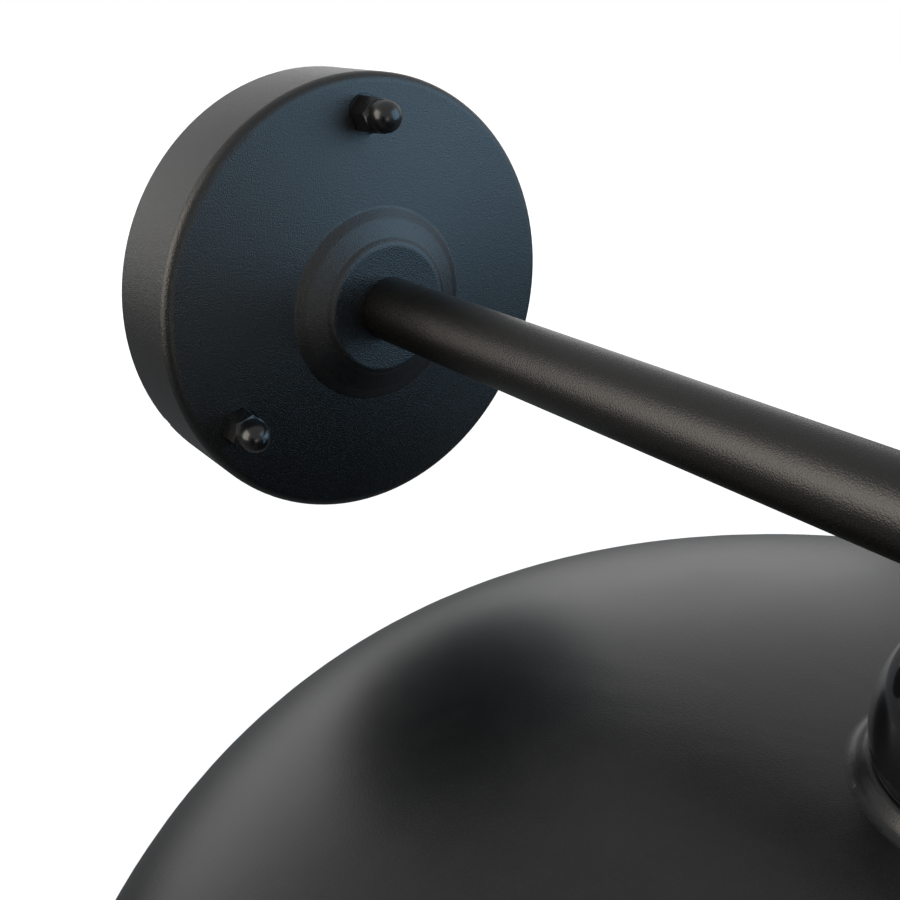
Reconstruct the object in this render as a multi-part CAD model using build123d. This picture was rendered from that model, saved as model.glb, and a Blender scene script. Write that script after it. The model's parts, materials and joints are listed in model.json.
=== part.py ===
from build123d import *
import os
from math import cos, radians, sin, sqrt, tan

# Hanging wall lamp: a round wall plate, a straight tube arm and a wide dome shade
# carried under the end of the arm on a friction swivel.
# Millimetres. The wall is the plane Y = 0, the arm runs out along -Y and +Z is up.
# The origin is the middle of the bracket's back, on the wall.

# ---- driving dimensions ------------------------------------------------------

# fits
press_gap = 0.05
running_gap = 0.06

# wall plate, drawn from sheet steel
plate_diameter = 110.0
plate_depth = 24.6
plate_sheet = 1.2
plate_corner = 2.6
face_rise = 3.6
boss_foot_diameter = 48.0
boss_foot_flank = 2.4
boss_foot_height = 1.6
boss_foot_blend = 1.6
boss_band_width = 4.4
boss_band_rise = 1.8
boss_band_blend = 3.0
boss_step_flank = 1.3
boss_step_height = 1.0
boss_step_blend = 0.6
boss_top_blend = 2.4
notch_diameter = 2.8
notch_angle = 210.5

# bracket behind the plate
bracket_sheet = 2.0
bracket_gap = 1.6
cable_hole_diameter = 30.0
wall_slot_spacing = 72.0
wall_slot_width = 5.0
wall_slot_length = 14.0
screw_back_gap = 0.3

# studs and cap nuts that hold the plate
stud_count = 3
stud_first_angle = 90.0
stud_inset = 9.35
stud_diameter = 5.0
stud_hole_gap = 0.25
stud_nut_height = 4.0
stud_end_gap = 1.0
cap_nut_flats = 8.0
cap_nut_hex_height = 6.0
cap_nut_dome_inset = 0.25
cap_nut_height = 12.0
cap_nut_first_turn = 50.0
cap_nut_turn_step = 25.0
cap_nut_end_wall = 1.6
nut_seat_margin = 0.08
hex_chamfer = 0.2

# terminal block on the bracket
block_width = 28.0
block_height = 15.0
block_depth = 14.0
block_drop = 33.0
block_corner = 1.5
block_pitch = 9.0
sleeve_out = 8.0
sleeve_diameter = 5.6
sleeve_inset = 1.0
sleeve_bore = 3.0
clamp_screw_diameter = 3.4
clamp_screw_spread = 7.6
clamp_screw_length = 5.0
clamp_hole_gap = 0.3
block_screw_diameter = 3.0
block_screw_head = 5.2
block_screw_seat = 11.0
small_head_height = 2.0
slot_width = 0.8
slot_depth = 0.9

# earth point on the bracket
earth_across = 25.0
earth_drop = 13.0
earth_screw_diameter = 4.0
earth_screw_head = 7.4
lug_diameter = 9.0
lug_sheet = 0.8
lug_barrel_diameter = 4.0
lug_barrel_start = 4.5
lug_barrel_length = 7.0
lug_barrel_lift = 0.2
lug_wire_inset = 0.5

# wires
wire_diameter = 2.2
wire_spacing = 3.4
wire_entry = 5.0
wire_end_gap = 0.2
arm_wire_turn = 17.0
earth_wire_rise = 16.0

# arm
arm_reach = 189.0
arm_diameter = 15.7
arm_wall = 1.2
arm_bush_length = 12.0
nipple_diameter = 10.0
nipple_bore = 7.2
nipple_hole_gap = 0.25
nipple_reach = 9.0
nipple_inset = 1.0
load_washer_diameter = 24.0
load_washer_thickness = 1.5
tooth_washer_diameter = 16.0
tooth_washer_thickness = 0.8
tooth_count = 12
tooth_depth = 1.2
lock_nut_flats = 14.0
lock_nut_height = 4.0

# swivel at the end of the arm
drum_diameter = 14.0
drum_width = 9.2
drum_end_wall = 1.2
drum_shell = 1.8
web_gap = 0.6
web_thickness = 3.4
spigot_length = 15.0
fork_bore = 8.0
friction_washer_thickness = 0.4
friction_washer_inset = 1.2
pivot_diameter = 4.0
pivot_head_diameter = 7.4
pivot_head_height = 2.4
pivot_key_flats = 2.5
pivot_key_depth = 1.4
pivot_nut_flats = 7.0
pivot_nut_height = 3.2
pivot_screw_tail = 0.7
spot_face_margin = 0.36
spot_face_depth = 1.0
collar_inset = 1.2
wire_slot_low = -20.0
wire_slot_high = 72.0
wire_slot_margin = 0.3
lead_offset = 3.6

# glossy cap of the lampholder
cap_drop = 2.1
cap_height = 25.1
cap_widest_drop = 19.2
cap_diameter = 40.0
cap_bulge = 21.5
cap_wall = 2.0
cap_top_blend = 5.5
cap_foot_blend = 0.8
cap_thread_runout = 0.2
neck_tail = 1.0

# lampholder for a lamp with a 27 mm screw cap
barrel_length = 41.2
barrel_wall = 1.8
barrel_overlap = 6.0
mouth_lip = 2.0
mouth_step = 0.5
mouth_blend = 1.0
insert_ledge = 2.0
insert_ledge_step = 0.7
insert_inset = 2.2
insert_thickness = 11.0
screw_shell_bore = 26.6
screw_shell_sheet = 0.5
screw_shell_length = 24.0
shell_neck_bore = 22.0
shell_neck_length = 5.0
shell_gap = 1.1
contact_hole_diameter = 12.0
contact_width = 5.0
contact_sheet = 0.6
contact_across = 3.9
contact_end = 10.6
contact_tip = 3.4
contact_drop = 4.0
contact_bend = 0.6
contact_bend_drop = 1.2
contact_slot_gap = 0.2
post_spacing = 16.0
post_diameter = 5.6
post_height = 6.0
post_bore_depth = 4.0
post_stem_diameter = 3.0
post_screw_diameter = 3.0
post_screw_length = 5.0
post_screw_drop = 2.2
lead_start_height = 1.0
lead_bend_depth = 1.5
lead_centre_depth = 7.0
lead_turn_gap = 0.7
lead_out_rise = 2.1
lead_end_gap = 0.3

# shade, spun from sheet steel
shade_diameter = 301.8
shade_dome_height = 62.24
shade_sheet = 1.0
seat_rise = 2.06
seat_inset = 0.3
seat_slope = 0.65
seat_overlap = 4.0
seat_shoulder_blend = 1.4
seat_foot_blend = 2.4
shade_hole_gap = 0.3
rim_bead_diameter = 3.6
rim_bead_inset = 1.4

# threaded ring that clamps the shade from below
ring_wall = 2.1
ring_height = 11.0
ring_flange_width = 6.2
ring_flange_gap = 1.84
ring_flange_thickness = 2.4
ring_edge_blend = 0.8

# ---- sizes that follow -------------------------------------------------------

plate_radius = plate_diameter / 2
boss_foot = boss_foot_diameter / 2
boss_band = boss_foot - boss_foot_flank
boss_step = boss_band - boss_band_width
boss_top = boss_step - boss_step_flank
boss_height = boss_foot_height + boss_band_rise + boss_step_height
plate_front = plate_depth + face_rise + boss_height
plate_front_inside = plate_front - plate_sheet
bracket_radius = plate_radius - plate_sheet - bracket_gap
stud_circle = plate_radius - stud_inset
stud_radius = stud_diameter / 2
nut_seat = plate_depth + face_rise * stud_inset / (plate_radius - boss_foot)
nut_seat_radius = cap_nut_flats / sqrt(3) + nut_seat_margin
wire_radius = wire_diameter / 2
wire_side = wire_spacing / 2
wire_hole = wire_radius + press_gap
arm_radius = arm_diameter / 2
arm_bore = arm_radius - arm_wall
nipple_radius = nipple_diameter / 2
nipple_hole = nipple_radius + nipple_hole_gap
thread_hole = nipple_radius + press_gap
drum_radius = drum_diameter / 2
drum_half = drum_width / 2
cheek_inside = drum_half + running_gap + friction_washer_thickness
web_near = drum_radius + web_gap
arm_end = arm_reach - web_near - web_thickness
spot_face = arm_radius - spot_face_depth
spot_face_radius = pivot_nut_flats / sqrt(3) + spot_face_margin
pivot_radius = pivot_diameter / 2
collar_top = web_near
collar_radius = drum_radius - collar_inset
wire_slot_width = wire_spacing + wire_diameter + 2 * wire_slot_margin
cap_radius = cap_diameter / 2
cap_top_depth = collar_top + cap_drop
cap_foot_depth = cap_top_depth + cap_height
cap_widest_depth = cap_top_depth + cap_widest_drop
cap_inside_top = cap_top_depth + cap_wall
neck_end_depth = cap_inside_top + tooth_washer_thickness + lock_nut_height + neck_tail
barrel_bore = screw_shell_bore / 2 + screw_shell_sheet + shell_gap
barrel_radius = barrel_bore + barrel_wall
barrel_thread = barrel_radius + press_gap
barrel_top_depth = cap_foot_depth - barrel_overlap
mouth_depth = barrel_top_depth + barrel_length
insert_top_depth = barrel_top_depth + insert_inset
insert_foot_depth = insert_top_depth + insert_thickness
contact_top_depth = insert_top_depth - contact_sheet
post_top_depth = contact_top_depth - post_height
post_side = post_spacing / 2
post_screw_depth = post_top_depth + post_screw_drop
lead_turn_depth = neck_end_depth + lead_turn_gap
lead_out_depth = post_top_depth - lead_out_rise
shade_radius = shade_diameter / 2
shade_rim_depth = cap_foot_depth + seat_rise + shade_dome_height
seat_radius = cap_radius - seat_inset
ring_top_depth = cap_foot_depth + shade_sheet
ring_radius = barrel_radius + ring_wall

# Two places: the wall, with its third axis out along the arm, and the pivot.
WALL = Plane(origin=(0, 0, 0), x_dir=(1, 0, 0), z_dir=(0, -1, 0))
HEAD = Pos(0, -arm_reach, 0)


# ---- helpers -----------------------------------------------------------------

def rod(radius, low, high):
    """Round bar on the Z axis between two heights."""
    return Pos(0, 0, (low + high) / 2) * Cylinder(radius, high - low)


def sleeve(outer, inner, low, high):
    """Round tube on the Z axis between two heights."""
    return rod(outer, low, high) - rod(inner, low - 1, high + 1)


def bar(x_low, x_high, y_low, y_high, z_low, z_high):
    """Rectangular bar given by its limits."""
    centre = Pos((x_low + x_high) / 2, (y_low + y_high) / 2, (z_low + z_high) / 2)
    return centre * Box(x_high - x_low, y_high - y_low, z_high - z_low)


def pane(x_low, x_high, y_low, y_high):
    """Rectangle given by its limits."""
    centre = Pos((x_low + x_high) / 2, (y_low + y_high) / 2)
    return centre * Rectangle(x_high - x_low, y_high - y_low)


def turned(section):
    """Solid turned about Z from a half section drawn as radius against height."""
    return revolve(Plane.XZ * section, Axis.Z)


def soften(section, x, y, radius):
    """Round the corner of a section that lies nearest to a point."""
    corner = section.vertices().sort_by_distance((x, y, 0))[0]
    return fillet(corner, radius)


def along_x(shape):
    """Turn a piece made on Z so that it lies on X."""
    return Rot(0, 90, 0) * shape


def along_y(shape):
    """Turn a piece made on Z so that it lies on Y."""
    return Rot(-90, 0, 0) * shape


def hexagon(flats, low, high, chamfer_low=True):
    """Hexagonal bar with its corners turned off at the ends, as on a nut."""
    prism = Pos(0, 0, low) * extrude(RegularPolygon(flats / 2, 6, major_radius=False), high - low)
    corner = flats / sqrt(3)
    face = flats / 2 - hex_chamfer
    slope = (corner - face) * tan(radians(30))
    foot = [(face, low), (corner, low + slope)] if chamfer_low else [(corner, low)]
    outline = [(0, low), *foot, (corner, high - slope), (face, high), (0, high)]
    return prism & turned(make_face(Polyline(*outline, close=True)))


def screw_slot(width, top):
    """Cutter for the driver slot across the top of a screw."""
    return bar(-width, width, -slot_width / 2, slot_width / 2, top - slot_depth, top + 1)


def at_studs(shape, first_turn=0, turn_step=0):
    """Copies of a piece at every stud, each turned a little further than the one before."""
    copies = []
    for i in range(stud_count):
        angle = radians(stud_first_angle + 360 / stud_count * i)
        place = Pos(stud_circle * cos(angle), stud_circle * sin(angle), 0)
        copies.append(place * Rot(0, 0, first_turn + turn_step * i) * shape)
    return copies


def wire(points, radii):
    """Insulated wire along a route with rounded corners."""
    route = FilletPolyline(*points, radius=radii)
    return sweep(Plane(route @ 0, z_dir=route % 0) * Circle(wire_radius), route)


def tooth_washer(low):
    """Washer on a threaded nipple with teeth round its edge."""
    outer = tooth_washer_diameter / 2
    high = low + tooth_washer_thickness
    washer = sleeve(outer, nipple_hole, low, high)
    gap = Pos(outer, 0, 0) * rod(tooth_depth, low - 1, high + 1)
    for i in range(tooth_count):
        washer -= Rot(0, 0, 360 / tooth_count * i) * gap
    return washer


# ---- wall plate and its fixings ------------------------------------------------

def plate_form(inset):
    """Solid under the plate's outer skin, or under its inner skin."""
    rim = plate_radius - inset
    floor = plate_depth - inset
    foot = floor + face_rise
    band = foot + boss_foot_height
    step = band + boss_band_rise
    top = step + boss_step_height
    corners = [
        (0, 0),
        (rim, 0),
        (rim, floor),
        (boss_foot - inset, foot),
        (boss_band - inset, band),
        (boss_step - inset, step),
        (boss_top - inset, top),
        (0, top),
    ]
    blends = [
        0,
        0,
        plate_corner - inset,
        boss_foot_blend + inset,
        boss_band_blend - inset,
        boss_step_blend + inset,
        boss_top_blend - inset,
        0,
    ]
    return turned(make_face(FilletPolyline(*corners, radius=blends, close=True)))


def make_wall_plate():
    """Plate with a raised boss, flat seats for the nuts and a notch in its wall edge."""
    shell = plate_form(0) - plate_form(plate_sheet)
    for high_side in at_studs(rod(nut_seat_radius, nut_seat, plate_front)):
        shell -= high_side
    for seat in at_studs(rod(nut_seat_radius, nut_seat - plate_sheet, nut_seat)):
        shell += seat
    for hole in at_studs(rod(stud_radius + stud_hole_gap, 0, plate_front)):
        shell -= hole
    shell -= rod(nipple_hole, 0, plate_front + 1)
    notch = Pos(plate_radius, 0, 0) * along_x(rod(notch_diameter / 2, -notch_diameter, notch_diameter))
    return WALL * (shell - Rot(0, 0, notch_angle) * notch)


def make_wall_bracket():
    """Disc on the wall with a cable hole, two wall slots and threaded holes."""
    disc = rod(bracket_radius, 0, bracket_sheet) - rod(cable_hole_diameter / 2, -1, bracket_sheet + 1)
    slot = extrude(SlotOverall(wall_slot_length, wall_slot_width), bracket_sheet)
    for side in (-1, 1):
        disc -= Pos(side * wall_slot_spacing / 2, 0, 0) * slot
        hole = rod(block_screw_diameter / 2 + press_gap, -1, bracket_sheet + 1)
        disc -= Pos(side * block_pitch / 2, -block_drop, 0) * hole
    earth_hole = rod(earth_screw_diameter / 2 + press_gap, -1, bracket_sheet + 1)
    disc -= Pos(earth_across, -earth_drop, 0) * earth_hole
    for hole in at_studs(rod(stud_radius + press_gap, -1, bracket_sheet + 1)):
        disc -= hole
    return WALL * disc


def make_bracket_studs():
    """Threaded studs that reach from the bracket into the cap nuts."""
    end = nut_seat + cap_nut_height - cap_nut_end_wall - stud_end_gap
    return WALL * Compound(at_studs(rod(stud_radius, screw_back_gap, end)))


def make_stud_lock_nuts():
    """Nuts that lock the studs on the bracket."""
    nut = hexagon(cap_nut_flats, bracket_sheet, bracket_sheet + stud_nut_height)
    return WALL * Compound(at_studs(nut - rod(stud_radius + press_gap, 0, nut_seat)))


def make_cap_nuts():
    """Domed nuts on the outside of the plate."""
    dome_radius = cap_nut_flats / 2 - cap_nut_dome_inset
    top = nut_seat + cap_nut_height
    dome = rod(dome_radius, nut_seat, top - dome_radius) + Pos(0, 0, top - dome_radius) * Sphere(dome_radius)
    nut = dome + hexagon(cap_nut_flats, nut_seat, nut_seat + cap_nut_hex_height, chamfer_low=False)
    nut -= rod(stud_radius + press_gap, 0, top - cap_nut_end_wall)
    return WALL * Compound(at_studs(nut, cap_nut_first_turn, cap_nut_turn_step))


# ---- terminal block, earth point and their wires -----------------------------------

def at_ways(shape):
    """Copies of a piece at each way of the terminal block."""
    return [Pos(block_pitch * i, -block_drop, 0) * shape for i in (-1, 0, 1)]


def at_clamps(shape):
    """Copies of a piece at each clamp screw of the terminal block."""
    pair = [Pos(0, side * clamp_screw_spread / 2, 0) * shape for side in (-1, 1)]
    return [place for piece in pair for place in at_ways(piece)]


def make_terminal_block():
    """Insulated body with three ways and two fixing holes."""
    top = bracket_sheet + block_depth
    outline = fillet(Rectangle(block_width, block_height).vertices(), block_corner)
    body = Pos(0, -block_drop, bracket_sheet) * extrude(outline, block_depth)
    way = Pos(0, 0, sleeve_out) * along_y(rod(sleeve_diameter / 2 + press_gap, -block_height, block_height))
    for hole in at_ways(way):
        body -= hole
    for hole in at_clamps(rod(clamp_screw_diameter / 2 + clamp_hole_gap, sleeve_out, top + 1)):
        body -= hole
    for side in (-1, 1):
        place = Pos(side * block_pitch / 2, -block_drop, 0)
        body -= place * rod(block_screw_diameter / 2 + press_gap, 0, top)
        body -= place * rod(block_screw_head / 2 + clamp_hole_gap, block_screw_seat, top + 1)
    return WALL * body


def make_block_sleeves():
    """Brass tubes that take the wires, one for each way."""
    half = block_height / 2 - sleeve_inset
    tube = Pos(0, 0, sleeve_out) * along_y(sleeve(sleeve_diameter / 2, sleeve_bore / 2, -half, half))
    for side in (-1, 1):
        hole = rod(clamp_screw_diameter / 2 + press_gap, sleeve_out, sleeve_out + sleeve_diameter)
        tube -= Pos(0, side * clamp_screw_spread / 2, 0) * hole
    return WALL * Compound(at_ways(tube))


def make_clamp_screws():
    """Slotted screws that press on the wires in the block."""
    tip = sleeve_out + wire_hole
    top = tip + clamp_screw_length
    screw = rod(clamp_screw_diameter / 2, tip, top) - screw_slot(clamp_screw_diameter, top)
    return WALL * Compound(at_clamps(screw))


def make_block_screws():
    """Screws that fix the block to the bracket."""
    top = block_screw_seat + small_head_height
    screw = rod(block_screw_head / 2, block_screw_seat, top) - screw_slot(block_screw_head, top)
    screw += rod(block_screw_diameter / 2, screw_back_gap, block_screw_seat)
    places = [Pos(side * block_pitch / 2, -block_drop, 0) for side in (-1, 1)]
    return WALL * Compound([place * screw for place in places])


def make_earth_lug():
    """Crimped ring lug lying on the bracket."""
    middle = bracket_sheet + lug_barrel_diameter / 2 + lug_barrel_lift
    end = lug_barrel_start + lug_barrel_length
    half = lug_barrel_diameter / 2
    lug = rod(lug_diameter / 2, bracket_sheet, bracket_sheet + lug_sheet)
    lug += bar(-half, half, 0, lug_barrel_start + 1, bracket_sheet, bracket_sheet + lug_sheet)
    lug += Pos(0, 0, middle) * along_y(rod(half, lug_barrel_start, end))
    lug -= Pos(0, 0, middle) * along_y(rod(wire_hole, lug_barrel_start - 1, end + 1))
    lug -= rod(earth_screw_diameter / 2 + press_gap, 0, bracket_sheet + lug_sheet + 1)
    return WALL * Pos(earth_across, -earth_drop, 0) * lug


def make_earth_screw():
    """Screw that holds the earth lug on the bracket."""
    seat = bracket_sheet + lug_sheet
    top = seat + small_head_height
    screw = rod(earth_screw_head / 2, seat, top) - screw_slot(earth_screw_head, top)
    screw += rod(earth_screw_diameter / 2, screw_back_gap, seat)
    return WALL * Pos(earth_across, -earth_drop, 0) * screw


def make_earth_wire():
    """Wire from the block to the earth lug."""
    lug_out = bracket_sheet + lug_barrel_diameter / 2 + lug_barrel_lift
    lug_foot = lug_barrel_start + lug_wire_inset - earth_drop
    turn = lug_foot + earth_wire_rise
    return WALL * wire(
        [
            (block_pitch, -block_drop + block_height / 2 - wire_entry, sleeve_out),
            (block_pitch, turn, sleeve_out),
            (earth_across, turn, lug_out),
            (earth_across, lug_foot, lug_out),
        ],
        4.0,
    )


def arm_wire(way, side):
    """Wire from a way of the block, through the arm, to the swivel."""
    return WALL * wire(
        [
            (way, -block_drop + block_height / 2 - wire_entry, sleeve_out),
            (way, -arm_wire_turn, sleeve_out),
            (side, 0, arm_wire_turn),
            (side, 0, arm_reach - web_near - wire_end_gap),
        ],
        5.5,
    )


# ---- arm -----------------------------------------------------------------------

def make_arm_tube():
    """Straight tube that stands on the boss."""
    return WALL * sleeve(arm_radius, arm_bore, plate_front, arm_end)


def make_arm_bush():
    """Threaded bush pressed into the wall end of the tube."""
    return WALL * sleeve(arm_bore - press_gap, thread_hole, plate_front, plate_front + arm_bush_length)


def make_arm_nipple():
    """Hollow threaded stem through the boss."""
    inner_end = plate_front_inside - nipple_reach
    outer_end = plate_front + arm_bush_length - nipple_inset
    return WALL * sleeve(nipple_radius, nipple_bore / 2, inner_end, outer_end)


def make_arm_load_washer():
    """Thick washer inside the boss that spreads the arm's load."""
    low = plate_front_inside - load_washer_thickness
    return WALL * sleeve(load_washer_diameter / 2, nipple_hole, low, plate_front_inside)


def make_arm_tooth_washer():
    """Toothed washer between the load washer and the lock nut."""
    return WALL * tooth_washer(plate_front_inside - load_washer_thickness - tooth_washer_thickness)


def make_arm_lock_nut():
    """Nut that draws the arm against the boss."""
    high = plate_front_inside - load_washer_thickness - tooth_washer_thickness
    nut = hexagon(lock_nut_flats, high - lock_nut_height, high)
    return WALL * (nut - rod(thread_hole, 0, high + 1))


# ---- swivel ----------------------------------------------------------------------

def make_swivel_fork():
    """Fork pressed into the arm, with a cheek on each side of the drum."""
    end = arm_reach + drum_radius
    round_end = Pos(0, 0, arm_reach) * along_x(rod(drum_radius, -arm_radius, arm_radius))
    square_end = bar(-arm_radius, arm_radius, -arm_radius, arm_radius, arm_end, arm_reach)
    fork = rod(arm_radius, arm_end, end) & (round_end + square_end)
    fork -= bar(-cheek_inside, cheek_inside, -arm_radius, arm_radius, arm_reach - web_near, end + 1)
    fork += rod(arm_bore - press_gap, arm_end - spigot_length, arm_end)
    fork -= rod(fork_bore / 2, arm_end - spigot_length - 1, arm_reach)
    pin = along_x(rod(pivot_radius + press_gap, -arm_radius, arm_radius))
    fork -= Pos(0, 0, arm_reach) * pin
    for side in (-1, 1):
        low, high = sorted((side * spot_face, side * (arm_radius + 1)))
        fork -= Pos(0, 0, arm_reach) * along_x(rod(spot_face_radius, low, high))
    return WALL * fork


def make_pivot_screw():
    """Screw on which the drum turns."""
    head_end = spot_face + pivot_head_height
    tail_end = spot_face + pivot_nut_height + pivot_screw_tail
    screw = rod(pivot_radius, -tail_end, spot_face) + rod(pivot_head_diameter / 2, spot_face, head_end)
    key = RegularPolygon(pivot_key_flats / 2, 6, major_radius=False)
    screw -= Pos(0, 0, head_end - pivot_key_depth) * extrude(key, pivot_key_depth)
    return HEAD * along_x(screw)


def make_pivot_nut():
    """Nut that sets how hard the cheeks press on the drum."""
    nut = hexagon(pivot_nut_flats, -spot_face - pivot_nut_height, -spot_face)
    return HEAD * along_x(nut - rod(pivot_radius + press_gap, -spot_face - pivot_nut_height - 1, 0))


def make_friction_washers():
    """Thin washers between the drum and the cheeks."""
    inner = cheek_inside - friction_washer_thickness
    outer_radius = drum_radius - friction_washer_inset
    right = sleeve(outer_radius, pivot_radius + press_gap, inner, cheek_inside)
    left = sleeve(outer_radius, pivot_radius + press_gap, -cheek_inside, -inner)
    return HEAD * along_x(Compound([left, right]))


def make_swivel_drum():
    """Drum between the cheeks, hollow for the wires, with a collar and a threaded neck."""
    cavity = drum_half - drum_end_wall
    drum = along_x(rod(drum_radius, -drum_half, drum_half))
    flats = bar(-drum_half, drum_half, -drum_radius, drum_radius, -collar_top, 0)
    drum += rod(collar_radius, -collar_top, 0) & flats
    drum += rod(collar_radius, -cap_top_depth, -collar_top)
    drum += rod(nipple_radius, -neck_end_depth, -cap_top_depth)
    drum -= along_x(rod(drum_radius - drum_shell, -cavity, cavity))
    drum -= rod(nipple_bore / 2, -neck_end_depth - 1, 0)
    drum -= along_x(rod(pivot_radius + running_gap, -drum_half - 1, drum_half + 1))
    reach = 1.6 * drum_radius
    angles = [radians(a) for a in (wire_slot_low, (wire_slot_low + wire_slot_high) / 2, wire_slot_high)]
    wedge = Polyline((0, 0), *[(reach * cos(a), reach * sin(a)) for a in angles], close=True)
    drum -= extrude(Plane.YZ * make_face(wedge), wire_slot_width / 2, both=True)
    return HEAD * drum


# ---- lampholder --------------------------------------------------------------------

def make_cap_tooth_washer():
    """Toothed washer inside the cap."""
    return HEAD * tooth_washer(-cap_inside_top - tooth_washer_thickness)


def make_cap_lock_nut():
    """Nut that holds the cap on the neck of the swivel."""
    high = -cap_inside_top - tooth_washer_thickness
    nut = hexagon(lock_nut_flats, high - lock_nut_height, high)
    return HEAD * (nut - rod(thread_hole, high - lock_nut_height - 1, high + 1))


def make_holder_cap():
    """Ball-shaped cap over the terminals, with a thread for the barrel in its foot."""
    thread_top = -barrel_top_depth + cap_thread_runout
    skin = Pos(0, -cap_widest_depth) * Ellipse(cap_radius, cap_bulge)
    hollow = Pos(0, -cap_widest_depth) * Ellipse(cap_radius - cap_wall, cap_bulge - cap_wall)
    section = skin & pane(0, cap_radius + 1, -cap_foot_depth, -cap_top_depth)
    section = soften(section, cap_radius / 2, -cap_top_depth, cap_top_blend)
    section = soften(section, cap_radius, -cap_foot_depth, cap_foot_blend)
    section -= hollow & pane(0, cap_radius, thread_top, -cap_inside_top)
    section -= pane(0, barrel_thread, -cap_foot_depth, thread_top)
    section -= pane(0, nipple_hole, -cap_inside_top, -cap_top_depth)
    return HEAD * turned(section)


def make_holder_barrel():
    """Tube round the socket, threaded outside, with a ledge for the insert."""
    ledge_low = -insert_foot_depth - insert_ledge
    section = pane(barrel_bore, barrel_radius, -mouth_depth, -barrel_top_depth)
    section += pane(barrel_bore - insert_ledge_step, barrel_bore, ledge_low, -insert_foot_depth)
    section += pane(barrel_bore - mouth_step, barrel_bore, -mouth_depth, mouth_lip - mouth_depth)
    section = soften(section, barrel_radius, -mouth_depth, mouth_blend)
    return HEAD * turned(section)


def make_holder_insert():
    """Insulating disc that carries the terminals and the contacts."""
    disc = rod(barrel_bore - press_gap, -insert_foot_depth, -insert_top_depth)
    disc -= Pos(post_side, 0, 0) * rod(post_stem_diameter / 2 + press_gap, -insert_foot_depth, 0)
    half = contact_sheet / 2 + contact_slot_gap
    width = contact_width / 2 + contact_slot_gap
    disc -= bar(-contact_across - half, -contact_across + half, -width, width, -insert_foot_depth, 0)
    return HEAD * disc


def make_screw_shell():
    """Brass shell that takes the screw cap of the lamp, with a narrower neck at its top."""
    inner = screw_shell_bore / 2
    outer = inner + screw_shell_sheet
    neck_inner = shell_neck_bore / 2
    neck_outer = neck_inner + screw_shell_sheet
    foot = -insert_foot_depth - screw_shell_length
    shoulder = -insert_foot_depth - shell_neck_length
    floor = -insert_foot_depth - screw_shell_sheet
    section = pane(inner, outer, foot, shoulder + screw_shell_sheet)
    section += pane(neck_inner, outer, shoulder, shoulder + screw_shell_sheet)
    section += pane(neck_inner, neck_outer, shoulder, -insert_foot_depth)
    section += pane(contact_hole_diameter / 2, neck_outer, floor, -insert_foot_depth)
    return HEAD * turned(section)


def make_centre_contact():
    """Strip from the live post, down through the insert, to the middle of the socket."""
    high = -insert_top_depth + contact_sheet / 2
    low = -insert_foot_depth - contact_bend_drop
    tip = -insert_foot_depth - contact_drop
    route = FilletPolyline(
        (-contact_end, high), (-contact_across, high), (-contact_across, low), (contact_tip, tip),
        radius=contact_bend,
    )
    strip = trace(route, contact_sheet)
    return HEAD * extrude(Plane.XZ * strip, contact_width / 2, both=True)


def terminal_post(foot_depth):
    """Brass post with a hole for the lead and a thread for its screw."""
    post = rod(post_diameter / 2, -foot_depth, -post_top_depth)
    post -= rod(wire_hole, -post_top_depth - post_bore_depth, 0)
    thread = along_y(rod(post_screw_diameter / 2 + press_gap, -post_diameter, 0))
    return post - Pos(0, 0, -post_screw_depth) * thread


def make_live_terminal():
    """Post that stands on the contact strip."""
    return HEAD * Pos(-post_side, 0, 0) * terminal_post(contact_top_depth)


def make_neutral_terminal():
    """Post with a stem through the insert to the screw shell."""
    stem = rod(post_stem_diameter / 2, -insert_foot_depth, -insert_top_depth)
    return HEAD * Pos(post_side, 0, 0) * (terminal_post(insert_top_depth) + stem)


def make_terminal_screws():
    """Screws that press on the leads in the posts."""
    end = -wire_hole - post_screw_length
    half = slot_width / 2
    screw = along_y(rod(post_screw_diameter / 2, end, -wire_hole))
    screw -= bar(-post_screw_diameter, post_screw_diameter, end - 1, end + slot_depth, -half, half)
    return HEAD * Compound([Pos(side * post_side, 0, -post_screw_depth) * screw for side in (-1, 1)])


def make_lead(side):
    """Lead from the hollow of the drum, down its neck, to a post."""
    x = side * wire_side
    post = side * post_side
    return HEAD * wire(
        [
            (x, lead_offset, lead_start_height),
            (x, lead_offset, -lead_bend_depth),
            (x, 0, -lead_centre_depth),
            (x, 0, -lead_turn_depth),
            (post, 0, -lead_out_depth),
            (post, 0, -post_top_depth - post_bore_depth + lead_end_gap),
        ],
        [3.0, 3.0, 2.4, 2.4],
    )


# ---- shade -------------------------------------------------------------------------

def shade_form(inset):
    """Half section under the shade's outer skin, or under its inner skin."""
    top = -cap_foot_depth - inset
    low = top - seat_rise - seat_overlap
    edge = seat_radius + inset * (seat_slope - sqrt(1 + seat_slope**2))
    dome = Pos(0, -shade_rim_depth) * Ellipse(shade_radius - inset, shade_dome_height - inset)
    dome &= pane(0, shade_radius + 1, -shade_rim_depth, 0)
    spread = edge + (top - low) * seat_slope
    seat = make_face(Polyline((0, top), (edge, top), (spread, low), (0, low), close=True))
    form = dome + seat
    form = soften(form, edge, top, seat_shoulder_blend - inset)
    return soften(form, edge + seat_rise * seat_slope, top - seat_rise, seat_foot_blend + inset)


def make_shade():
    """Wide dome with a raised seat for the cap and a rolled rim."""
    hole = barrel_radius + shade_hole_gap
    section = shade_form(0) - shade_form(shade_sheet)
    section -= pane(0, hole, -shade_rim_depth, 0)
    section += Pos(shade_radius - rim_bead_inset, -shade_rim_depth) * Circle(rim_bead_diameter / 2)
    return HEAD * turned(section)


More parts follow.
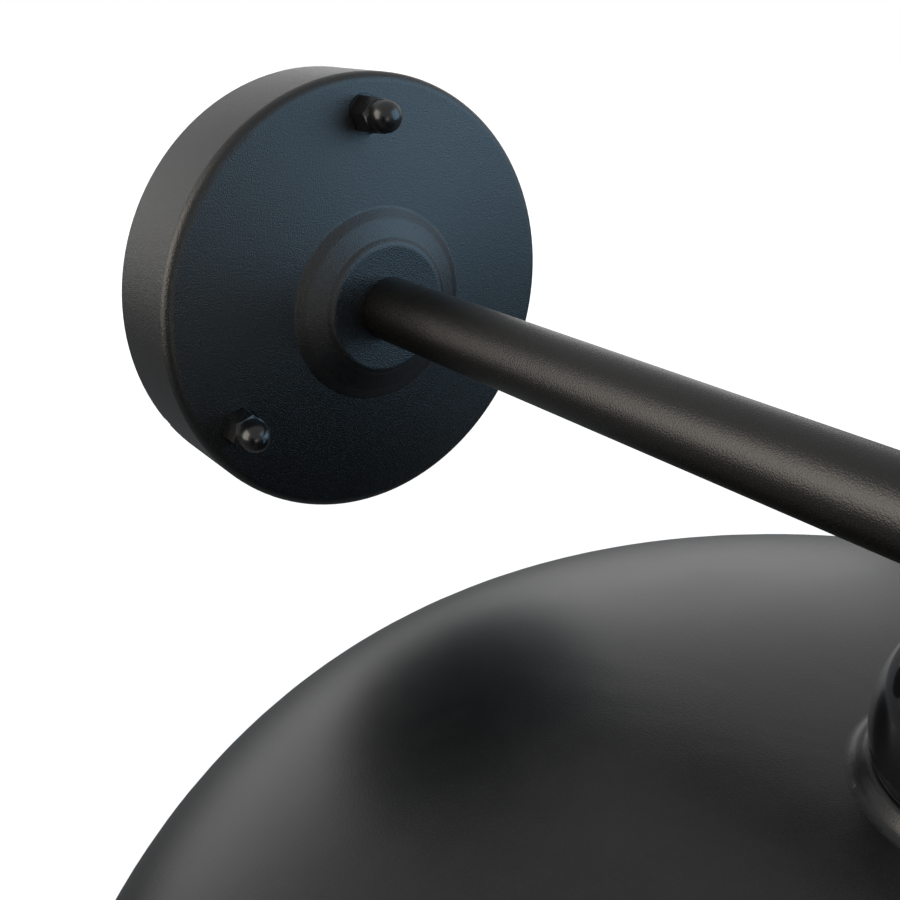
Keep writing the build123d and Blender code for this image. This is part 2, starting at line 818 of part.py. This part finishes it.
def make_shade_ring():
    """Threaded ring that presses the shade up against the cap."""
    flange_top = -ring_top_depth - seat_rise - ring_flange_gap
    flange_low = flange_top - ring_flange_thickness
    flange_radius = ring_radius + ring_flange_width
    foot = -ring_top_depth - ring_height
    section = pane(barrel_thread, ring_radius, foot, -ring_top_depth)
    section += pane(barrel_thread, flange_radius, flange_low, flange_top)
    section = soften(section, ring_radius, foot, ring_edge_blend)
    section = soften(section, flange_radius, flange_top, ring_edge_blend)
    section = soften(section, flange_radius, flange_low, ring_edge_blend)
    return HEAD * turned(section)


# ---- pieces --------------------------------------------------------------------------

pieces = {
    "wall_plate": make_wall_plate(),
    "wall_bracket": make_wall_bracket(),
    "bracket_studs": make_bracket_studs(),
    "stud_lock_nuts": make_stud_lock_nuts(),
    "cap_nuts": make_cap_nuts(),
    "terminal_block": make_terminal_block(),
    "block_sleeves": make_block_sleeves(),
    "clamp_screws": make_clamp_screws(),
    "block_screws": make_block_screws(),
    "earth_lug": make_earth_lug(),
    "earth_screw": make_earth_screw(),
    "earth_wire": make_earth_wire(),
    "live_wire": arm_wire(-block_pitch, -wire_side),
    "neutral_wire": arm_wire(0, wire_side),
    "arm_tube": make_arm_tube(),
    "arm_bush": make_arm_bush(),
    "arm_nipple": make_arm_nipple(),
    "arm_load_washer": make_arm_load_washer(),
    "arm_tooth_washer": make_arm_tooth_washer(),
    "arm_lock_nut": make_arm_lock_nut(),
    "swivel_fork": make_swivel_fork(),
    "pivot_screw": make_pivot_screw(),
    "pivot_nut": make_pivot_nut(),
    "friction_washers": make_friction_washers(),
    "swivel_drum": make_swivel_drum(),
    "cap_tooth_washer": make_cap_tooth_washer(),
    "cap_lock_nut": make_cap_lock_nut(),
    "holder_cap": make_holder_cap(),
    "holder_barrel": make_holder_barrel(),
    "holder_insert": make_holder_insert(),
    "screw_shell": make_screw_shell(),
    "centre_contact": make_centre_contact(),
    "live_terminal": make_live_terminal(),
    "neutral_terminal": make_neutral_terminal(),
    "terminal_screws": make_terminal_screws(),
    "live_lead": make_lead(-1),
    "neutral_lead": make_lead(1),
    "shade": make_shade(),
    "shade_ring": make_shade_ring(),
}

os.makedirs("parts", exist_ok=True)
for name, piece in pieces.items():
    export_step(piece, f"parts/{name}.step")
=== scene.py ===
# %% [markdown]
# # A hanging wall light, dressed for rendering
# The real lamp is a round wall plate, a straight tube arm and a wide dome shade that
# hangs under the arm's end. Its hard pieces come from a CAD model in metres, with the
# wall at Y = 0, the arm along -Y and Z up. One could model them again in Blender, but
# then sizes would drift, so this lesson loads them as they are and works on their looks.

# %% Load the frame
import json
import math

import bmesh
import bpy
from mathutils import Matrix, Vector

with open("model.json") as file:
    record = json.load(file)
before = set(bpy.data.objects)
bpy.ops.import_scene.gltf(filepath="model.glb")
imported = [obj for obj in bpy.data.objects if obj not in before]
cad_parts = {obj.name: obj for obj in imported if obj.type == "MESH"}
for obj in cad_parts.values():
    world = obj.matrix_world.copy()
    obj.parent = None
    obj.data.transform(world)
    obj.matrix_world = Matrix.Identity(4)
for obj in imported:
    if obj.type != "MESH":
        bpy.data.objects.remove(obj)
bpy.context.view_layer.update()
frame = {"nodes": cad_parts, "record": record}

# %% [markdown]
# ## Short names for node work
# A material is a small network of nodes. Typing every link by hand is slow to read, so
# two helpers add a node, set its numbers and join it up. A plain value goes in as a
# default, and a socket goes in as a link, which keeps each material to a few lines.

# %% Helpers for node networks
def fill(tree, node, values):
    """Sets inputs of a node: a socket is linked, anything else becomes the default."""
    for key, value in values.items():
        if isinstance(value, bpy.types.NodeSocket):
            tree.links.new(value, node.inputs[key])
        else:
            node.inputs[key].default_value = value
    return node


def add(tree, kind, values=None, **settings):
    """Adds a node, changes its settings and fills its inputs."""
    node = tree.nodes.new(kind)
    for key, value in settings.items():
        setattr(node, key, value)
    return fill(tree, node, values or {})


print("node helpers ready")

# %% [markdown]
# ## Sums, ranges and fades
# Three steps come back in every finish: a sum on two values, a value stretched from one
# range to another, and one colour fading into the next. Each gets a helper that gives
# back the socket with the result, so that steps can be written inside one another.

# %% Helpers for sums, ranges and fades
FIRST_COLOUR, SECOND_COLOUR, MIXED_COLOUR = 6, 7, 2


def maths(tree, operation, first, second, clamp=False):
    """A sum on two values."""
    node = add(tree, "ShaderNodeMath", {0: first, 1: second}, operation=operation, use_clamp=clamp)
    return node.outputs[0]


def spread(tree, value, low, high, new_low=0.0, new_high=1.0):
    """Stretches a value from one range to another and holds it there."""
    values = {"Value": value, "From Min": low, "From Max": high, "To Min": new_low, "To Max": new_high}
    return add(tree, "ShaderNodeMapRange", values).outputs["Result"]


def blend_colour(tree, share, first, second):
    """One colour fading into another. The mix node's colour sockets go by number."""
    node = add(tree, "ShaderNodeMix", {"Factor": share}, data_type="RGBA")
    fill(tree, node, {FIRST_COLOUR: first, SECOND_COLOUR: second})
    return node.outputs[MIXED_COLOUR]


print("sums, ranges and fades ready")

# %% [markdown]
# ## Effects as node groups
# Several finishes share the same effects, such as the fine grain of a powder coat. A
# copy in each material would work, but a change would then need many edits. A node
# group is built once and placed where it is needed, with its own numbers each time.

# %% A helper that starts a node group
VALUE, NORMAL = "NodeSocketFloat", "NodeSocketVector"


def new_group(name, inputs, outputs):
    """An empty shader group with named value inputs and outputs."""
    group = bpy.data.node_groups.new(name, "ShaderNodeTree")
    for label, default in inputs.items():
        socket = group.interface.new_socket(label, in_out="INPUT", socket_type=VALUE)
        socket.default_value = default
    for label, kind in outputs.items():
        group.interface.new_socket(label, in_out="OUTPUT", socket_type=kind)
    entry = group.nodes.new("NodeGroupInput").outputs
    leave = group.nodes.new("NodeGroupOutput").inputs
    return group, entry, leave


print("group helper ready")

# %% [markdown]
# ## Powder coat grain
# Powder coat is melted plastic dust. It never flows quite flat: up close it has soft
# bumps less than a millimetre wide that catch the light as pale specks. Displacement
# would need millions of faces, so a bump map from fine noise gives the same sparkle.
# A second, coarse noise makes the film a little thicker and duller in places.

# %% Build the grain group
PATCHES_PER_METRE = 45.0


def build_grain():
    """Bumps, specks and broad patches of a sprayed or moulded surface."""
    group, entry, leave = new_group(
        "surface_grain",
        {"Bumps Per Metre": 1500.0, "Bump Height": 0.0001, "Bump Strength": 0.5},
        {"Specks": VALUE, "Patches": VALUE, "Normal": NORMAL},
    )
    place = add(group, "ShaderNodeTexCoord").outputs["Object"]
    bumps = {"Vector": place, "Scale": entry["Bumps Per Metre"], "Detail": 2.0}
    fine = add(group, "ShaderNodeTexNoise", bumps).outputs["Fac"]
    patches = {"Vector": place, "Scale": PATCHES_PER_METRE, "Detail": 4.0}
    broad = add(group, "ShaderNodeTexNoise", patches).outputs["Fac"]
    relief = {"Height": fine, "Distance": entry["Bump Height"], "Strength": entry["Bump Strength"]}
    bump = add(group, "ShaderNodeBump", relief)
    group.links.new(spread(group, fine, low=0.56, high=0.74), leave["Specks"])
    group.links.new(spread(group, broad, low=0.35, high=0.65), leave["Patches"])
    group.links.new(bump.outputs["Normal"], leave["Normal"])
    return group


grain_group = build_grain()
print("group:", grain_group.name, "sockets:", len(grain_group.interface.items_tree))

# %% [markdown]
# ## Settled dust
# Dust settles on what faces up. It could be painted by hand, but here the surface's own
# direction decides: the more it faces up, the more dust it holds. Noise breaks the dust
# up, because it never lies evenly.

# %% Build the dust group
DUST_CLUMPS_PER_METRE = 160.0


def build_dust():
    """How much dust lies on each place, from 0 to 1."""
    group, entry, leave = new_group("settled_dust", {"Amount": 0.3}, {"Dust": VALUE})
    place = add(group, "ShaderNodeTexCoord").outputs
    up = add(group, "ShaderNodeSeparateXYZ", {0: place["Normal"]}).outputs["Z"]
    clumps = {"Vector": place["Object"], "Scale": DUST_CLUMPS_PER_METRE, "Detail": 6.0}
    noise = add(group, "ShaderNodeTexNoise", clumps).outputs["Fac"]
    upward = spread(group, up, low=0.55, high=1.0)
    broken = spread(group, noise, low=0.42, high=0.75)
    lying = maths(group, "MULTIPLY", upward, broken)
    group.links.new(maths(group, "MULTIPLY", lying, entry["Amount"]), leave["Dust"])
    return group


dust_group = build_dust()
print("group:", dust_group.name)

# %% [markdown]
# ## Wiping marks
# A cloth leaves faint streaks in a gloss. A scratch picture would repeat, so noise is
# turned a little and squeezed along one axis, which draws it out into streaks.

# %% Build the streak group
def build_streaks():
    """Faint wiping marks, from 0 to 1."""
    group, entry, leave = new_group("wiping_marks", {"Marks Per Metre": 60.0}, {"Marks": VALUE})
    place = add(group, "ShaderNodeTexCoord").outputs["Object"]
    squeeze = {"Vector": place, "Rotation": (0.3, 0.5, 0.2), "Scale": (1.0, 7.0, 1.0)}
    long = add(group, "ShaderNodeMapping", squeeze).outputs[0]
    streaks = {"Vector": long, "Scale": entry["Marks Per Metre"], "Detail": 5.0}
    noise = add(group, "ShaderNodeTexNoise", streaks).outputs["Fac"]
    group.links.new(spread(group, noise, low=0.45, high=0.7), leave["Marks"])
    return group


streak_group = build_streaks()
print("group:", streak_group.name)

# %% [markdown]
# ## Tool lines and zinc flakes
# Turned brass shows the fine lines that the tool left, and zinc plate shows crystals a
# millimetre or two wide. The lines are a wave texture, bent a little so that they don't
# look ruled, and the crystals are the cells of a Voronoi texture.

# %% Build the metal groups
LINE_DEPTH = 0.00003


def build_turning():
    """Fine tool lines, as a normal."""
    group, entry, leave = new_group("turning_lines", {"Lines Per Metre": 3000.0}, {"Normal": NORMAL})
    place = add(group, "ShaderNodeTexCoord").outputs["Object"]
    lines = {"Vector": place, "Scale": entry["Lines Per Metre"], "Distortion": 1.5, "Detail": 2.0}
    wave = add(group, "ShaderNodeTexWave", lines, bands_direction="DIAGONAL").outputs["Fac"]
    bump = add(group, "ShaderNodeBump", {"Height": wave, "Distance": LINE_DEPTH, "Strength": 0.35})
    group.links.new(bump.outputs["Normal"], leave["Normal"])
    return group


def build_flakes():
    """Crystals of a plated coat, each with a value of its own."""
    group, entry, leave = new_group("plated_flakes", {"Flakes Per Metre": 400.0}, {"Flakes": VALUE})
    place = add(group, "ShaderNodeTexCoord").outputs["Object"]
    crystals = {"Vector": place, "Scale": entry["Flakes Per Metre"], "Randomness": 1.0}
    cells = add(group, "ShaderNodeTexVoronoi", crystals).outputs["Color"]
    split = add(group, "ShaderNodeSeparateColor", {0: cells})
    group.links.new(split.outputs[0], leave["Flakes"])
    return group


turning_group, flake_group = build_turning(), build_flakes()
print("groups:", turning_group.name, flake_group.name)

# %% [markdown]
# ## A helper that starts a material
# Each finish keeps its own Principled shader, and numbers that are the same all over
# sit on that shader. Only what changes from place to place comes from the groups.

# %% Start a material and place a group in it
materials = {}


def new_finish(slot, **numbers):
    """A material for one of the part's finishes, with its shader's plain numbers set."""
    material = bpy.data.materials.new(slot)
    material.use_nodes = True
    tree = material.node_tree
    shader = tree.nodes["Principled BSDF"]
    for name, value in numbers.items():
        shader.inputs[name.replace("_", " ")].default_value = value
    materials[slot] = material
    return tree, shader


def place_group(tree, group, **numbers):
    """A group in a material, with its own numbers."""
    node = add(tree, "ShaderNodeGroup", node_tree=group)
    return fill(tree, node, {name.replace("_", " "): value for name, value in numbers.items()})


def toned(colour, share):
    """The same colour, darker or brighter."""
    return tuple(part * share for part in colour[:3]) + (1,)


print("material helpers ready")

# %% [markdown]
# ## Black powder coat
# The plate, arm, swivel and shade are steel under a satin black powder coat. Plain black with one roughness
# would look like a cut-out. The coat's tone moves between two near-blacks, the tops of its bumps are painted
# paler as a painted sparkle over the real grain, and dust greys what faces up.

# %% Mix the powder coat
COAT_DUST = (0.05, 0.05, 0.047, 1.0)
COAT_CHANGE = 0.01
COAT_DUST_DULLS = 0.15


def powder_coat(slot, dark, pale, painted_sparkle, dull, bumps, height, strength):
    """Satin black coat with its grain, patches and dust."""
    tree, shader = new_finish(slot)
    grain = place_group(tree, grain_group, Bumps_Per_Metre=bumps, Bump_Height=height, Bump_Strength=strength)
    dust = place_group(tree, dust_group, Amount=0.05).outputs["Dust"]
    tone = blend_colour(tree, grain.outputs["Patches"], dark, pale)
    # Painted sparkle: the tops of the grain's bumps are painted paler, as if they caught the light.
    tone = blend_colour(tree, grain.outputs["Specks"], tone, painted_sparkle)
    tone = blend_colour(tree, dust, tone, COAT_DUST)
    rough = spread(tree, grain.outputs["Patches"], 0.0, 1.0, dull - COAT_CHANGE, dull + COAT_CHANGE)
    rough = maths(tree, "ADD", rough, maths(tree, "MULTIPLY", dust, COAT_DUST_DULLS))
    fill(tree, shader, {"Base Color": tone, "Roughness": rough, "Normal": grain.outputs["Normal"]})


print("powder coat ready")

# %% [markdown]
# ## Coat the four painted finishes
# All four come out of the same booth, so they share one recipe. The plate's blue tint and the arm's brown
# tint are painted light: the cool light on the plate and the warm light on the arm, painted into their
# near-black colours. The shade is sprayed the smoothest.

# %% Paint the coated pieces
# The blue tint of these near-blacks is painted cool light, not a different paint.
powder_coat(
    "plate_paint",
    dark=(0.0010, 0.0012, 0.0014, 1),
    pale=(0.0017, 0.0020, 0.0022, 1),
    painted_sparkle=(0.008, 0.009, 0.010, 1),
    dull=0.34,
    bumps=3200.0,
    height=0.00014,
    strength=0.9,
)
# The brown tint of these near-blacks is painted warm light, not a different paint.
powder_coat(
    "arm_paint",
    dark=(0.0011, 0.0010, 0.0009, 1),
    pale=(0.0018, 0.0017, 0.0015, 1),
    painted_sparkle=(0.010, 0.0095, 0.008, 1),
    dull=0.35,
    bumps=3200.0,
    height=0.00008,
    strength=0.9,
)
powder_coat(
    "swivel_paint",
    dark=(0.0010, 0.0010, 0.0010, 1),
    pale=(0.0016, 0.0016, 0.0016, 1),
    painted_sparkle=(0.007, 0.007, 0.007, 1),
    dull=0.35,
    bumps=2400.0,
    height=0.00008,
    strength=0.6,
)
powder_coat(
    "shade_paint",
    dark=(0.0009, 0.0010, 0.0011, 1),
    pale=(0.0015, 0.0016, 0.0018, 1),
    painted_sparkle=(0.007, 0.0075, 0.008, 1),
    dull=0.34,
    bumps=3000.0,
    height=0.00005,
    strength=0.6,
)
print("painted:", sorted(materials))

# %% [markdown]
# ## Gloss black
# The ball-shaped cap is polished black plastic and the domed nuts are lacquered. Both
# mirror the room. A perfect mirror looks fake, so wiping marks change the roughness a
# little, and a very low bump bends the reflections as real moulding does.

# %% Polish the cap, the nuts and the holder
GLOSS_DUST = (0.10, 0.10, 0.095, 1)


def gloss_black(slot, colour, smooth, marked, waves, lacquer=0.0):
    """Deep black gloss with faint wiping marks."""
    tree, shader = new_finish(slot, Coat_Weight=lacquer, Coat_Roughness=0.03)
    marks = place_group(tree, streak_group, Marks_Per_Metre=90.0)
    grain = place_group(tree, grain_group, Bumps_Per_Metre=260.0, Bump_Height=0.00004, Bump_Strength=waves)
    film = place_group(tree, dust_group, Amount=0.12)
    tone = blend_colour(tree, grain.outputs["Patches"], colour, toned(colour, 1.6))
    tone = blend_colour(tree, film.outputs["Dust"], tone, GLOSS_DUST)
    rough = spread(tree, marks.outputs["Marks"], 0.0, 1.0, smooth, marked)
    fill(tree, shader, {"Base Color": tone, "Roughness": rough, "Normal": grain.outputs["Normal"]})


gloss_black("cap_gloss", (0.003, 0.003, 0.0034, 1), smooth=0.10, marked=0.17, waves=0.25, lacquer=0.6)
gloss_black("nut_gloss", (0.003, 0.003, 0.0034, 1), smooth=0.24, marked=0.32, waves=0.20)
gloss_black("black_screw", (0.010, 0.010, 0.011, 1), smooth=0.28, marked=0.40, waves=0.30)
gloss_black("holder_plastic", (0.008, 0.008, 0.009, 1), smooth=0.22, marked=0.32, waves=0.30)
print("polished:", [name for name in materials if "gloss" in name])

# %% [markdown]
# ## Zinc plate
# The bracket, screws, nuts and washers are zinc plated. Zinc is a metal, so its colour
# sits in the reflection. One even grey would look like paint, so the flakes give each
# crystal its own tone and shine, and duller patches show where the plate has aged.

# %% Plate the steel pieces
AGED_ZINC = (0.36, 0.37, 0.36, 1)


def zinc(slot, colour, flakes, smooth, dull):
    """Zinc plate with crystals of slightly different shine."""
    tree, shader = new_finish(slot, Metallic=1.0)
    crystals = place_group(tree, flake_group, Flakes_Per_Metre=flakes)
    grain = place_group(tree, grain_group, Bumps_Per_Metre=900.0, Bump_Height=0.00003, Bump_Strength=0.4)
    tone = blend_colour(tree, crystals.outputs["Flakes"], toned(colour, 0.91), colour)
    aged = maths(tree, "MULTIPLY", grain.outputs["Patches"], 0.35)
    tone = blend_colour(tree, aged, tone, AGED_ZINC)
    rough = spread(tree, crystals.outputs["Flakes"], 0.0, 1.0, smooth, dull)
    fill(tree, shader, {"Base Color": tone, "Roughness": rough, "Normal": grain.outputs["Normal"]})


zinc("zinc_sheet", (0.66, 0.67, 0.68, 1), flakes=600.0, smooth=0.34, dull=0.42)
zinc("zinc_screw", (0.70, 0.71, 0.72, 1), flakes=900.0, smooth=0.22, dull=0.36)
zinc("tinned_lug", (0.76, 0.76, 0.74, 1), flakes=700.0, smooth=0.30, dull=0.42)
print("plated:", [name for name in materials if "zinc" in name or "tinned" in name])

# %% [markdown]
# ## Brass
# The parts that carry current are brass. It is bright where the tool cut it and darkens
# where hands and heat have been, so the tone and the shine both follow broad patches,
# over the tool lines.

# %% Turn and tarnish the brass
def brass(slot, bright, tarnish, lines):
    """Brass with tool lines and darker patches."""
    tree, shader = new_finish(slot, Metallic=1.0)
    turning = place_group(tree, turning_group, Lines_Per_Metre=lines)
    patches = place_group(tree, grain_group).outputs["Patches"]
    tone = blend_colour(tree, maths(tree, "MULTIPLY", patches, 0.55), bright, tarnish)
    rough = spread(tree, patches, 0.0, 1.0, new_low=0.20, new_high=0.38)
    fill(tree, shader, {"Base Color": tone, "Roughness": rough, "Normal": turning.outputs["Normal"]})


brass("brass_turned", bright=(0.86, 0.66, 0.31, 1), tarnish=(0.48, 0.32, 0.13, 1), lines=3500.0)
brass("brass_sheet", bright=(0.88, 0.70, 0.36, 1), tarnish=(0.55, 0.38, 0.16, 1), lines=1800.0)
print("brass:", [name for name in materials if "brass" in name])

# %% [markdown]
# ## Insulating pieces
# The terminal block is moulded plastic, the insert is glazed ceramic and the friction
# washers are pressed fibre. Their colours are paler than the paint, so small changes of
# tone show more than bumps do, and one recipe serves them all.

# %% Mould and fire the insulating pieces
PALE_DUST = (0.30, 0.29, 0.27, 1)


def moulded(slot, colour, deep, bumps, height, smooth, dull, glaze=0.0):
    """Moulded or fired material with a soft change of tone and a fine grain."""
    tree, shader = new_finish(slot, Coat_Weight=glaze, Coat_Roughness=0.08)
    grain = place_group(tree, grain_group, Bumps_Per_Metre=bumps, Bump_Height=height, Bump_Strength=0.5)
    film = place_group(tree, dust_group, Amount=0.2)
    tone = blend_colour(tree, grain.outputs["Patches"], deep, colour)
    tone = blend_colour(tree, maths(tree, "MULTIPLY", grain.outputs["Specks"], 0.3), tone, deep)
    tone = blend_colour(tree, film.outputs["Dust"], tone, PALE_DUST)
    rough = spread(tree, grain.outputs["Patches"], 0.0, 1.0, smooth, dull)
    fill(tree, shader, {"Base Color": tone, "Roughness": rough, "Normal": grain.outputs["Normal"]})
    return tree, shader, tone


moulded(
    "block_plastic",
    colour=(0.72, 0.70, 0.64, 1),
    deep=(0.62, 0.60, 0.53, 1),
    bumps=1200.0,
    height=0.00006,
    smooth=0.42,
    dull=0.55,
)
moulded(
    "insert_ceramic",
    colour=(0.80, 0.79, 0.74, 1),
    deep=(0.70, 0.68, 0.62, 1),
    bumps=500.0,
    height=0.00005,
    smooth=0.16,
    dull=0.26,
    glaze=0.7,
)
moulded(
    "washer_fibre",
    colour=(0.20, 0.07, 0.045, 1),
    deep=(0.12, 0.04, 0.03, 1),
    bumps=2600.0,
    height=0.00008,
    smooth=0.65,
    dull=0.80,
)
print("moulded and fired:", ["block_plastic", "insert_ceramic", "washer_fibre"])

# %% [markdown]
# ## Wires
# Wires have soft plastic sleeves: brown for live, blue for neutral, green and yellow
# for earth. The yellow stripe runs along one side of its wire. It could be a second
# strip of mesh, but here the surface's own direction picks it out.

# %% Colour the wires
YELLOW_STRIPE = (0.72, 0.60, 0.05, 1)


def wire_sleeve(slot, colour, deep):
    """The soft plastic sleeve of a wire."""
    return moulded(slot, colour, deep, bumps=800.0, height=0.00003, smooth=0.34, dull=0.46)


wire_sleeve("wire_live", colour=(0.20, 0.085, 0.035, 1), deep=(0.13, 0.05, 0.02, 1))
wire_sleeve("wire_neutral", colour=(0.03, 0.13, 0.46, 1), deep=(0.02, 0.08, 0.32, 1))
earth_tree, earth_shader, green = wire_sleeve(
    "wire_earth", colour=(0.06, 0.36, 0.09, 1), deep=(0.04, 0.25, 0.06, 1)
)
direction = add(earth_tree, "ShaderNodeTexCoord").outputs["Normal"]
outward = add(earth_tree, "ShaderNodeSeparateXYZ", {0: direction}).outputs["Y"]
stripe = spread(earth_tree, outward, low=-0.60, high=-0.52, new_low=1.0, new_high=0.0)
fill(earth_tree, earth_shader, {"Base Color": blend_colour(earth_tree, stripe, green, YELLOW_STRIPE)})
print("wires:", [name for name in materials if "wire" in name])

# %% [markdown]
# ## Give every piece its finish
# The part's record says which finish each piece has. One could pick objects by hand,
# but reading the record means that a new piece gets its finish by itself.

# %% Hand out the materials
for entry in frame["record"]["subparts"]:
    node = frame["nodes"][entry["node"]]
    node.data.materials.clear()
    node.data.materials.append(materials[entry["material_slot"]])
print("pieces with a finish:", sum(len(node.data.materials) == 1 for node in frame["nodes"].values()))

# %% [markdown]
# ## Sheets for the studio
# The floor and the dark card are flat sheets that belong to the studio and not to the
# lamp. One helper makes both from a grid of one face and gives each a matt paint.

# %% A helper for studio sheets
def make_sheet(name, width, height, colour):
    """A flat rectangular sheet with a matt paint, and the paint's nodes and shader."""
    mesh = bpy.data.meshes.new(name)
    shape = bmesh.new()
    bmesh.ops.create_grid(shape, x_segments=1, y_segments=1, size=0.5)
    bmesh.ops.scale(shape, verts=shape.verts, vec=(width, height, 1.0))
    shape.to_mesh(mesh)
    shape.free()
    sheet = bpy.data.objects.new(name, mesh)
    bpy.context.scene.collection.objects.link(sheet)
    paint = bpy.data.materials.new(name)
    paint.use_nodes = True
    tree = paint.node_tree
    shader = fill(tree, tree.nodes["Principled BSDF"], {"Base Color": colour, "Roughness": 0.9})
    mesh.materials.append(paint)
    return sheet, tree, shader


print("sheet helper ready")

# %% [markdown]
# ## Floor
# The floor is pale and takes the shadow. To the camera it also glows a little, less
# near the lamp, so that it ends up as white as the world behind it. In mirrored light
# it is dim, as the room below the lamp is in the photo, which keeps the undersides deep
# black. One could turn the lamps up instead, but then the black paint would go grey.

# %% Make the floor
FLOOR_SIDE = 12.0
FLOOR_HEIGHT = -0.45


def mix_shaders(tree, share, first, second):
    """One shader giving way to another."""
    node = add(tree, "ShaderNodeMixShader", {0: share, 1: first, 2: second})
    return node.outputs[0]


floor, floor_tree, floor_shader = make_sheet("studio_floor", FLOOR_SIDE, FLOOR_SIDE, (0.80, 0.80, 0.80, 1))
floor.location.z = FLOOR_HEIGHT
white = add(floor_tree, "ShaderNodeEmission", {"Color": (1, 1, 1, 1), "Strength": 1.5})
dim = add(floor_tree, "ShaderNodeEmission", {"Color": (0.9, 0.95, 1, 1), "Strength": 0.12})
ray = add(floor_tree, "ShaderNodeLightPath").outputs
spot = add(floor_tree, "ShaderNodeTexCoord").outputs["Object"]
reach = add(floor_tree, "ShaderNodeVectorMath", {0: spot}, operation="LENGTH").outputs["Value"]
glow = spread(floor_tree, reach, low=0.4, high=1.6, new_low=0.35, new_high=0.75)
seen = maths(floor_tree, "MULTIPLY", ray["Is Camera Ray"], glow)
mirrored = maths(floor_tree, "MULTIPLY", ray["Is Glossy Ray"], 0.95)
glowing = mix_shaders(floor_tree, seen, floor_shader.outputs[0], white.outputs[0])
surface = mix_shaders(floor_tree, mirrored, glowing, dim.outputs[0])
floor_tree.links.new(surface, floor_tree.nodes["Material Output"].inputs["Surface"])
print("floor at", round(floor.location.z, 3))

# %% [markdown]
# ## World
# A black object shows mostly what it mirrors, so the room matters more than the power
# of the lamps. The world is white to the camera, an even grey in reflections and a
# little darker as plain light, so that the windows do most of the lighting.

# %% Light the world
PLAIN_LIGHT, SEEN_LIGHT = 0.5, 1.0
MIRRORED_EXTRA = 0.12

world = bpy.data.worlds.new("studio")
bpy.context.scene.world = world
world.use_nodes = True
room = world.node_tree
ray = add(room, "ShaderNodeLightPath").outputs
straight = maths(room, "ADD", ray["Is Camera Ray"], ray["Is Transmission Ray"], clamp=True)
base = spread(room, straight, 0.0, 1.0, PLAIN_LIGHT, SEEN_LIGHT)
extra = maths(room, "MULTIPLY", ray["Is Glossy Ray"], MIRRORED_EXTRA)
fill(room, room.nodes["Background"], {"Color": (1, 1, 1, 1), "Strength": maths(room, "ADD", base, extra)})
print("world:", world.name)

# %% [markdown]
# ## Four windows
# The photo's left sides are warm and its wall plate is bluish, so two large windows
# stand in the room: a warm one on the left and a cool one in front on the right. A
# narrow one near the camera lights the left of the boss, and a long low one behind the
# wall lights the shade's far edge. Each is an area lamp, placed by two angles in
# degrees: its bearing from the lamp (0 is straight out from the wall, 90 is to the
# right) and its height above the horizon.

# %% Hang the windows
LAMP_MIDDLE = Vector((0.0, -0.1, 0.0))
WINDOW_DISTANCE = 1.2


def facing_lamp(bearing, height, distance):
    """A place round the lamp, turned to face it."""
    turn, rise = math.radians(bearing), math.radians(height)
    away = Vector((math.sin(turn) * math.cos(rise), -math.cos(turn) * math.cos(rise), math.sin(rise)))
    facing = away.to_track_quat("Z", "Y").to_matrix().to_4x4()
    return Matrix.Translation(LAMP_MIDDLE + away * distance) @ facing


def hang_window(name, bearing, height, width, tall, glow, colour):
    """An area lamp whose face has the given brightness."""
    data = bpy.data.lights.new(name, "AREA")
    data.shape = "RECTANGLE"
    data.size, data.size_y = width, tall
    data.energy = glow * math.pi * width * tall
    data.color = colour
    window = bpy.data.objects.new(name, data)
    window.matrix_world = facing_lamp(bearing, height, WINDOW_DISTANCE)
    window.visible_camera = False
    bpy.context.scene.collection.objects.link(window)


hang_window("warm_window", -108, 17, width=1.0, tall=1.0, glow=4.0, colour=(1.0, 0.91, 0.80))
hang_window("cool_window", 45, 16, width=1.4, tall=1.2, glow=2.6, colour=(0.37, 0.70, 1.0))
hang_window("near_window", -24, -9, width=0.40, tall=0.35, glow=3.0, colour=(1.0, 0.97, 0.88))
hang_window("rear_window", 157, 4, width=2.0, tall=0.60, glow=0.80, colour=(1.0, 1.0, 1.0))

# %% [markdown]
# ## A dark card
# Photographers hold black card beside shiny things to draw their edges. Here it darkens
# the plate's rounded corner on the left, between the narrow window and the warm one. It
# shows in reflections only, so it neither blocks light nor appears in the picture.

# %% Stand the card
card = make_sheet("dark_card", width=0.36, height=0.60, colour=(0.01, 0.01, 0.01, 1))[0]
card.matrix_world = facing_lamp(-57, -15, distance=0.60)
card.visible_camera = card.visible_diffuse = card.visible_shadow = False
print("card:", card.name)

# %% [markdown]
# ## Camera
# The photo is taken from the left and above, close to the wall plate, so that most of
# the shade falls outside the picture. The camera's place and turn were worked out from
# the plate's two rims, the arm and the shade's outline. Its three directions make the
# columns of its matrix, and the small shift puts the picture's middle where it was.

# %% Place the camera
def place_camera(place, right, up, back, lens, shift):
    """Camera with the given place, directions and lens."""
    data = bpy.data.cameras.new("photo_view")
    data.sensor_width = 36.0
    data.lens = lens
    data.shift_x, data.shift_y = shift
    data.clip_start, data.clip_end = 0.01, 20.0
    camera = bpy.data.objects.new("photo_view", data)
    turn = Matrix((right, up, back)).transposed().to_4x4()
    camera.matrix_world = Matrix.Translation(place) @ turn
    bpy.context.scene.collection.objects.link(camera)
    bpy.context.scene.camera = camera
    return camera


camera = place_camera(
    place=(-0.138459, -0.238047, 0.074495),
    right=(0.808976, -0.587283, -0.025612),
    up=(0.238515, 0.288105, 0.927419),
    back=(-0.537278, -0.756369, 0.373146),
    lens=42.1603,
    shift=(0.036439, -0.052274),
)
bpy.context.scene.view_settings.view_transform = "Standard"
print("camera at", tuple(round(v, 3) for v in camera.location))
